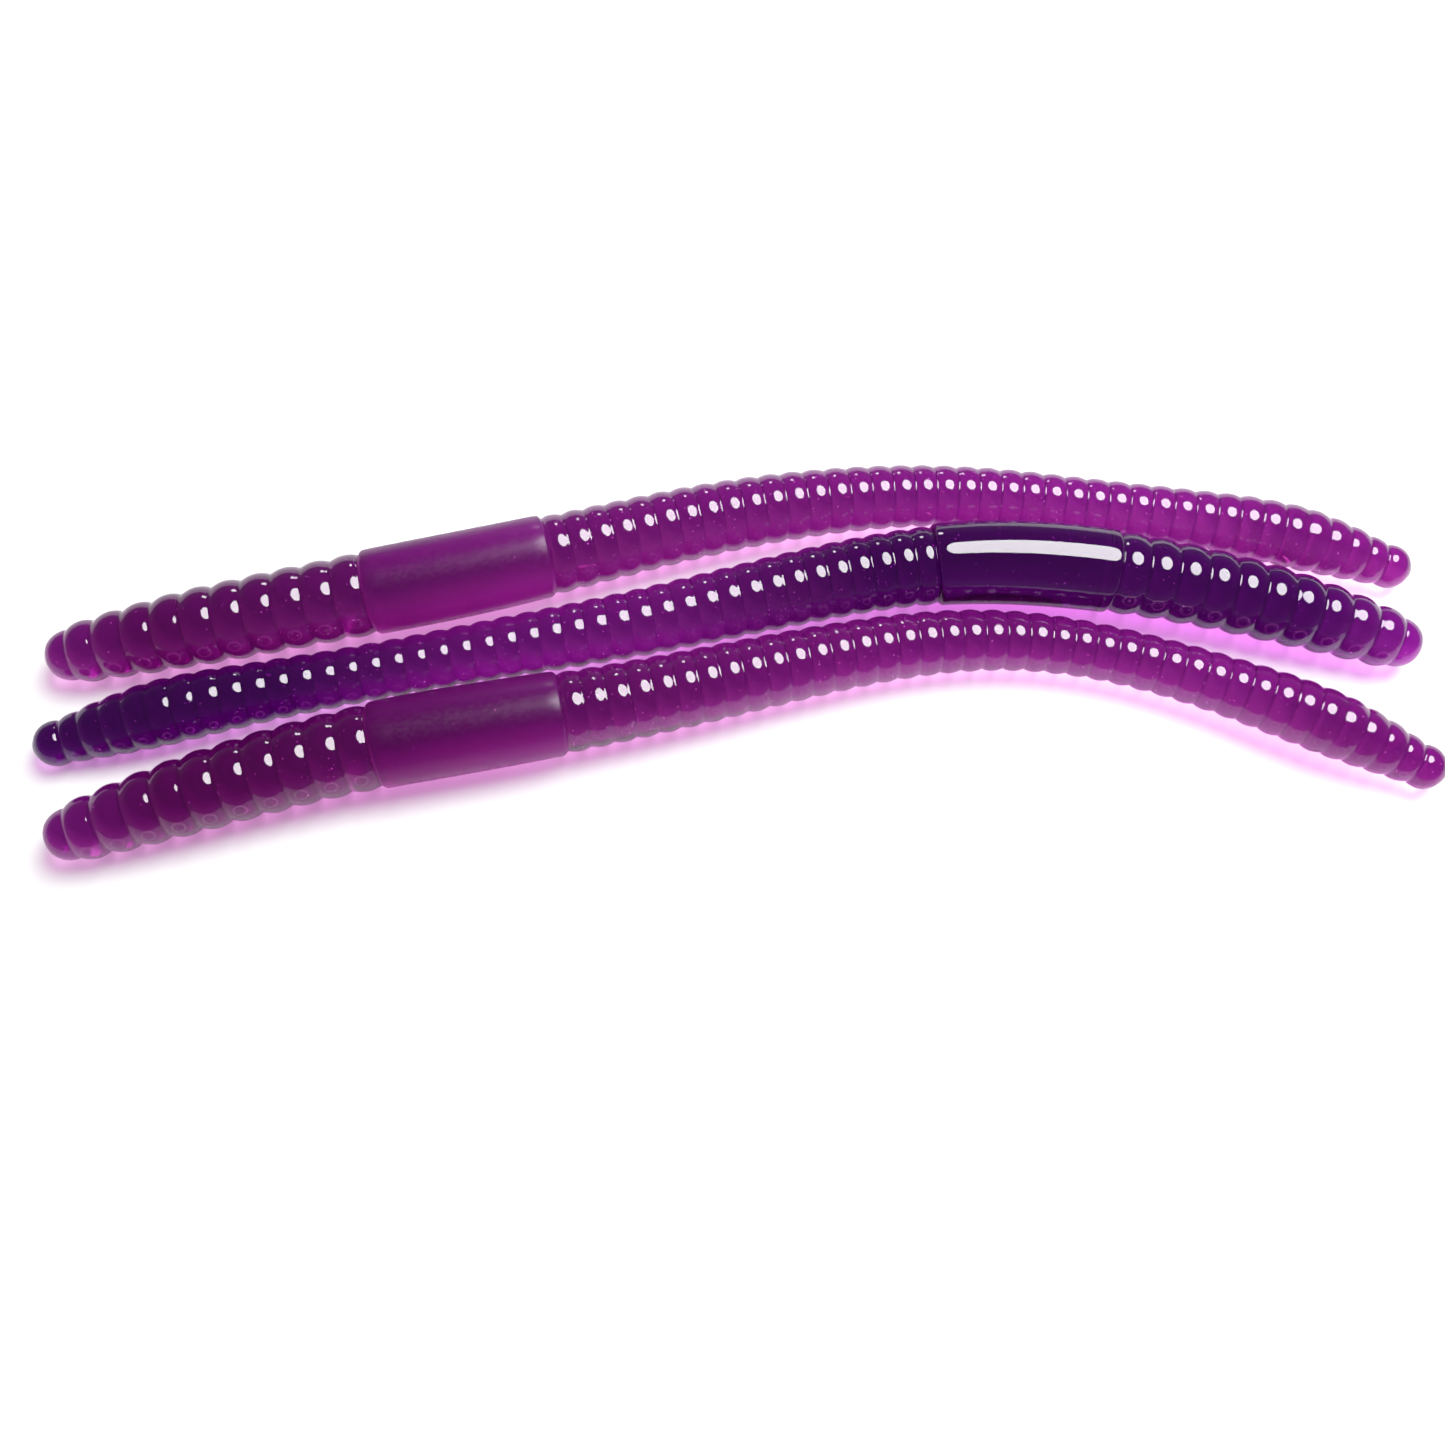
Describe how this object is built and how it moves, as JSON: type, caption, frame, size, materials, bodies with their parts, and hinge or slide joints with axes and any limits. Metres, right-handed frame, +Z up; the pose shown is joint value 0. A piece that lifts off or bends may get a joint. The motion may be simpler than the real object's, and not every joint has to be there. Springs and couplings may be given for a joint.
{
  "type": "soft plastic worm",
  "caption": "Group of ribbed, translucent purple soft plastic fishing worms lying side by side, each with a blunt nose, a smooth band and a long tapering tail.",
  "frame": {"origin": "middle of the group's footprint, on the surface that it lies on", "axes": "+X along the worms, towards the far and near worms' tails; +Y towards the far worm; +Z up"},
  "size_m": [0.1256, 0.0342, 0.0078],
  "materials": {
    "soft_plastic": "glossy, translucent, dyed purple"
  },
  "bodies": {
    "far_worm_nose": {"far_worm_nose": "soft_plastic"},
    "far_worm_head": {"far_worm_head": "soft_plastic"},
    "far_worm_band": {"far_worm_band": "soft_plastic"},
    "far_worm_tail_1": {"far_worm_tail_1": "soft_plastic"},
    "far_worm_tail_2": {"far_worm_tail_2": "soft_plastic"},
    "far_worm_tail_3": {"far_worm_tail_3": "soft_plastic"},
    "far_worm_tail_4": {"far_worm_tail_4": "soft_plastic"},
    "far_worm_tail_5": {"far_worm_tail_5": "soft_plastic"},
    "far_worm_tail_tip": {"far_worm_tail_tip": "soft_plastic"},
    "middle_worm_nose": {"middle_worm_nose": "soft_plastic"},
    "middle_worm_head": {"middle_worm_head": "soft_plastic"},
    "middle_worm_band": {"middle_worm_band": "soft_plastic"},
    "middle_worm_tail_1": {"middle_worm_tail_1": "soft_plastic"},
    "middle_worm_tail_2": {"middle_worm_tail_2": "soft_plastic"},
    "middle_worm_tail_3": {"middle_worm_tail_3": "soft_plastic"},
    "middle_worm_tail_4": {"middle_worm_tail_4": "soft_plastic"},
    "middle_worm_tail_5": {"middle_worm_tail_5": "soft_plastic"},
    "middle_worm_tail_tip": {"middle_worm_tail_tip": "soft_plastic"},
    "near_worm_nose": {"near_worm_nose": "soft_plastic"},
    "near_worm_head": {"near_worm_head": "soft_plastic"},
    "near_worm_band": {"near_worm_band": "soft_plastic"},
    "near_worm_tail_1": {"near_worm_tail_1": "soft_plastic"},
    "near_worm_tail_2": {"near_worm_tail_2": "soft_plastic"},
    "near_worm_tail_3": {"near_worm_tail_3": "soft_plastic"},
    "near_worm_tail_4": {"near_worm_tail_4": "soft_plastic"},
    "near_worm_tail_5": {"near_worm_tail_5": "soft_plastic"},
    "near_worm_tail_tip": {"near_worm_tail_tip": "soft_plastic"}
  },
  "joints": [
    {"name": "far_worm_lift_off", "type": "slide", "parent": "middle_worm_tail_2", "child": "far_worm_tail_2", "axis": [0, 0, 1], "range_m": [0, 0.03]},
    {"name": "far_worm_tail_1_to_tail_2_lift", "type": "hinge", "parent": "far_worm_tail_2", "child": "far_worm_tail_1", "pos_m": [-0.00529, 0.01225, 0.00342], "axis": [-0.1903, 0.9817, 0], "range_deg": [0, 30], "stiffness_Nm_per_rad": 0.00072},
    {"name": "far_worm_band_to_tail_1_side_bend", "type": "hinge", "parent": "far_worm_tail_1", "child": "far_worm_band", "pos_m": [-0.01932, 0.00953, 0.0039], "axis": [0, 0, -1], "range_deg": [0, 30], "stiffness_Nm_per_rad": 0.00096},
    {"name": "far_worm_head_to_band_lift", "type": "hinge", "parent": "far_worm_band", "child": "far_worm_head", "pos_m": [-0.03562, 0.00695, 0.00392], "axis": [-0.1395, 0.9902, 0], "range_deg": [0, 30], "stiffness_Nm_per_rad": 0.0011},
    {"name": "far_worm_nose_to_head_side_bend", "type": "hinge", "parent": "far_worm_head", "child": "far_worm_nose", "pos_m": [-0.05117, 0.00476, 0.00344], "axis": [0, 0, -1], "range_deg": [0, 30], "stiffness_Nm_per_rad": 0.00085},
    {"name": "far_worm_tail_2_to_tail_3_side_bend", "type": "hinge", "parent": "far_worm_tail_2", "child": "far_worm_tail_3", "pos_m": [0.00896, 0.014, 0.0031], "axis": [0, 0, 1], "range_deg": [0, 30], "stiffness_Nm_per_rad": 0.00047},
    {"name": "far_worm_tail_3_to_tail_4_lift", "type": "hinge", "parent": "far_worm_tail_3", "child": "far_worm_tail_4", "pos_m": [0.0233, 0.01375, 0.00277], "axis": [-0.1558, -0.9878, 0], "range_deg": [0, 30], "stiffness_Nm_per_rad": 0.00033},
    {"name": "far_worm_tail_4_to_tail_5_side_bend", "type": "hinge", "parent": "far_worm_tail_4", "child": "far_worm_tail_5", "pos_m": [0.03535, 0.01185, 0.00262], "axis": [0, 0, 1], "range_deg": [0, 30], "stiffness_Nm_per_rad": 0.0003},
    {"name": "far_worm_tail_5_to_tail_tip_lift", "type": "hinge", "parent": "far_worm_tail_5", "child": "far_worm_tail_tip", "pos_m": [0.04693, 0.00917, 0.00299], "axis": [-0.3254, -0.9456, 0], "range_deg": [0, 30], "stiffness_Nm_per_rad": 0.00045},
    {"name": "middle_worm_tail_1_to_tail_2_lift", "type": "hinge", "parent": "middle_worm_tail_2", "child": "middle_worm_tail_1", "pos_m": [0.00591, 0.00545, 0.00342], "axis": [0.0875, -0.9962, 0], "range_deg": [0, 30], "stiffness_Nm_per_rad": 0.00072},
    {"name": "middle_worm_band_to_tail_1_lift", "type": "hinge", "parent": "middle_worm_tail_1", "child": "middle_worm_band", "pos_m": [0.02014, 0.0067, 0.0039], "axis": [-0.1393, -0.9903, 0], "range_deg": [0, 30], "stiffness_Nm_per_rad": 0.00096},
    {"name": "middle_worm_head_to_band_lift", "type": "hinge", "parent": "middle_worm_band", "child": "middle_worm_head", "pos_m": [0.03649, 0.0044, 0.00392], "axis": [-0.2924, -0.9563, 0], "range_deg": [0, 30], "stiffness_Nm_per_rad": 0.0011},
    {"name": "middle_worm_nose_to_head_lift", "type": "hinge", "parent": "middle_worm_head", "child": "middle_worm_nose", "pos_m": [0.0515, -0.00019, 0.00344], "axis": [-0.3582, -0.9336, 0], "range_deg": [0, 30], "stiffness_Nm_per_rad": 0.00085},
    {"name": "middle_worm_tail_2_to_tail_3_lift", "type": "hinge", "parent": "middle_worm_tail_2", "child": "middle_worm_tail_3", "pos_m": [-0.00827, 0.00321, 0.0031], "axis": [-0.122, 0.9925, 0], "range_deg": [0, 30], "stiffness_Nm_per_rad": 0.00047},
    {"name": "middle_worm_tail_3_to_tail_4_lift", "type": "hinge", "parent": "middle_worm_tail_3", "child": "middle_worm_tail_4", "pos_m": [-0.02251, 0.00146, 0.00277], "axis": [-0.1221, 0.9925, 0], "range_deg": [0, 30], "stiffness_Nm_per_rad": 0.00033},
    {"name": "middle_worm_tail_4_to_tail_5_lift", "type": "hinge", "parent": "middle_worm_tail_4", "child": "middle_worm_tail_5", "pos_m": [-0.03462, -0.00003, 0.00262], "axis": [-0.1388, 0.9903, 0], "range_deg": [0, 30], "stiffness_Nm_per_rad": 0.0003},
    {"name": "middle_worm_tail_5_to_tail_tip_lift", "type": "hinge", "parent": "middle_worm_tail_5", "child": "middle_worm_tail_tip", "pos_m": [-0.04639, -0.00168, 0.00299], "axis": [-0.1907, 0.9816, 0], "range_deg": [0, 30], "stiffness_Nm_per_rad": 0.00045},
    {"name": "near_worm_lift_off", "type": "slide", "parent": "middle_worm_tail_2", "child": "near_worm_tail_2", "axis": [0, 0, 1], "range_m": [0, 0.03]},
    {"name": "near_worm_tail_1_to_tail_2_lift", "type": "hinge", "parent": "near_worm_tail_2", "child": "near_worm_tail_1", "pos_m": [-0.00459, -0.00355, 0.00342], "axis": [-0.1386, 0.9903, 0], "range_deg": [0, 30], "stiffness_Nm_per_rad": 0.00072},
    {"name": "near_worm_band_to_tail_1_side_bend", "type": "hinge", "parent": "near_worm_tail_1", "child": "near_worm_band", "pos_m": [-0.01874, -0.00553, 0.0039], "axis": [0, 0, 1], "range_deg": [0, 30], "stiffness_Nm_per_rad": 0.00096},
    {"name": "near_worm_head_to_band_lift", "type": "hinge", "parent": "near_worm_band", "child": "near_worm_head", "pos_m": [-0.03513, -0.00755, 0.00392], "axis": [-0.2077, 0.9782, 0], "range_deg": [0, 30], "stiffness_Nm_per_rad": 0.0011},
    {"name": "near_worm_nose_to_head_side_bend", "type": "hinge", "parent": "near_worm_head", "child": "near_worm_nose", "pos_m": [-0.05048, -0.01081, 0.00344], "axis": [0, 0, 1], "range_deg": [0, 30], "stiffness_Nm_per_rad": 0.00085},
    {"name": "near_worm_tail_2_to_tail_3_side_bend", "type": "hinge", "parent": "near_worm_tail_2", "child": "near_worm_tail_3", "pos_m": [0.00959, -0.0013, 0.0031], "axis": [0, 0, -1], "range_deg": [0, 30], "stiffness_Nm_per_rad": 0.00047},
    {"name": "near_worm_tail_3_to_tail_4_lift", "type": "hinge", "parent": "near_worm_tail_3", "child": "near_worm_tail_4", "pos_m": [0.02392, -0.0008, 0.00277], "axis": [-0.2246, -0.9745, 0], "range_deg": [0, 30], "stiffness_Nm_per_rad": 0.00033},
    {"name": "near_worm_tail_4_to_tail_5_side_bend", "type": "hinge", "parent": "near_worm_tail_4", "child": "near_worm_tail_5", "pos_m": [0.03581, -0.00354, 0.00262], "axis": [0, 0, -1], "range_deg": [0, 30], "stiffness_Nm_per_rad": 0.0003},
    {"name": "near_worm_tail_5_to_tail_tip_lift", "type": "hinge", "parent": "near_worm_tail_5", "child": "near_worm_tail_tip", "pos_m": [0.04675, -0.00819, 0.00299], "axis": [-0.4693, -0.883, 0], "range_deg": [0, 30], "stiffness_Nm_per_rad": 0.00045}
  ]
}
